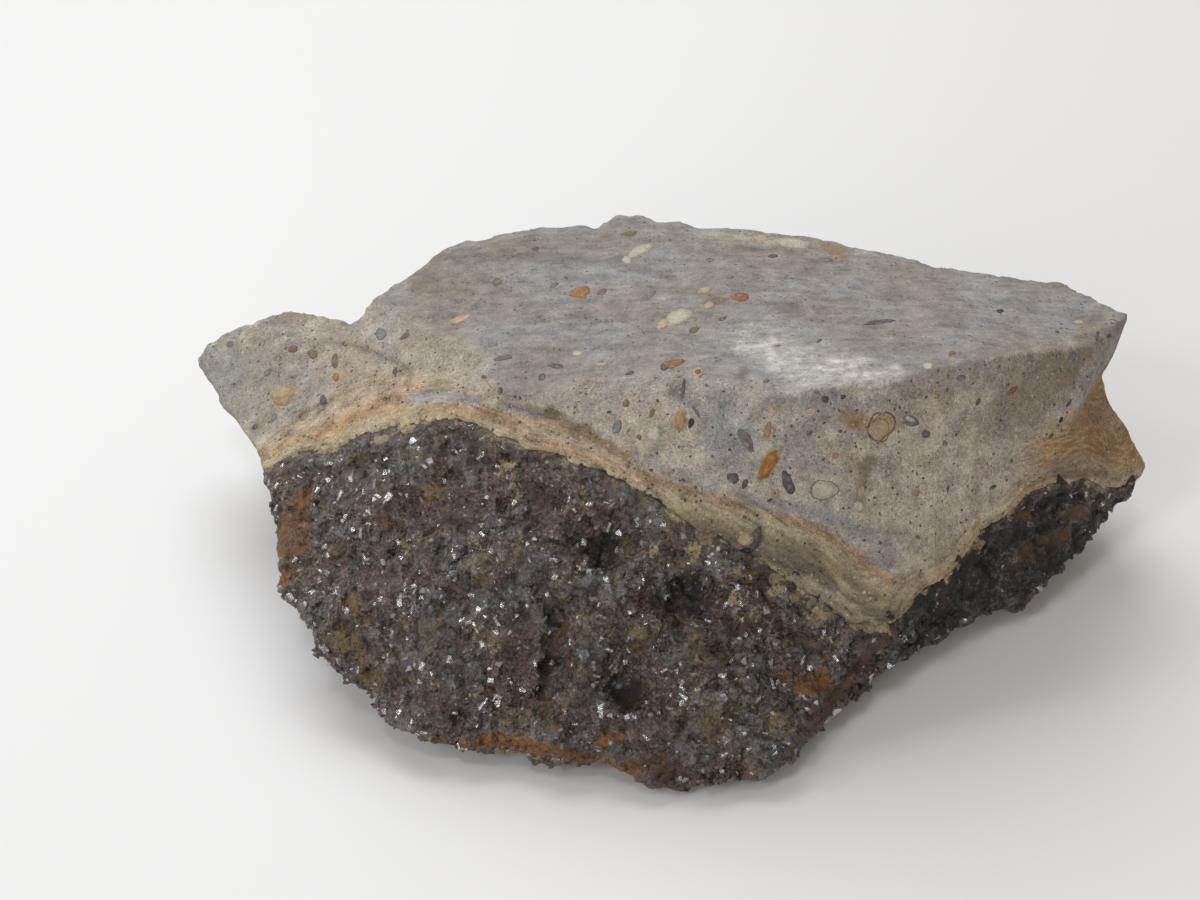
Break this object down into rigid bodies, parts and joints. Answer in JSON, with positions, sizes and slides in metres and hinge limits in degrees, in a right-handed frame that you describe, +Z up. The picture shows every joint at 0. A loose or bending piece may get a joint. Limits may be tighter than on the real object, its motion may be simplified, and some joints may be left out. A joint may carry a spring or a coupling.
{
  "type": "limestone with sphalerite",
  "caption": "Broken hand specimen of grey fossil limestone grown over a mass of dark, glittering sphalerite, with a flat spot underneath to rest on.",
  "frame": {"origin": "on the ground under the middle of the box around the stone", "axes": "+X along the stone's longest extent, +Y from the broken ore front to the broken back, +Z up from where it lies"},
  "size_m": [0.121, 0.0776, 0.0369],
  "materials": {
    "limestone": "matt broken rock, beige-grey with small fossils and a tan banded rim along the ore",
    "sphalerite": "dark purple-brown resinous to near metallic crystal faces with rusty patches"
  },
  "bodies": {
    "root": {"limestone": "limestone", "sphalerite": "sphalerite"}
  },
  "joints": []
}
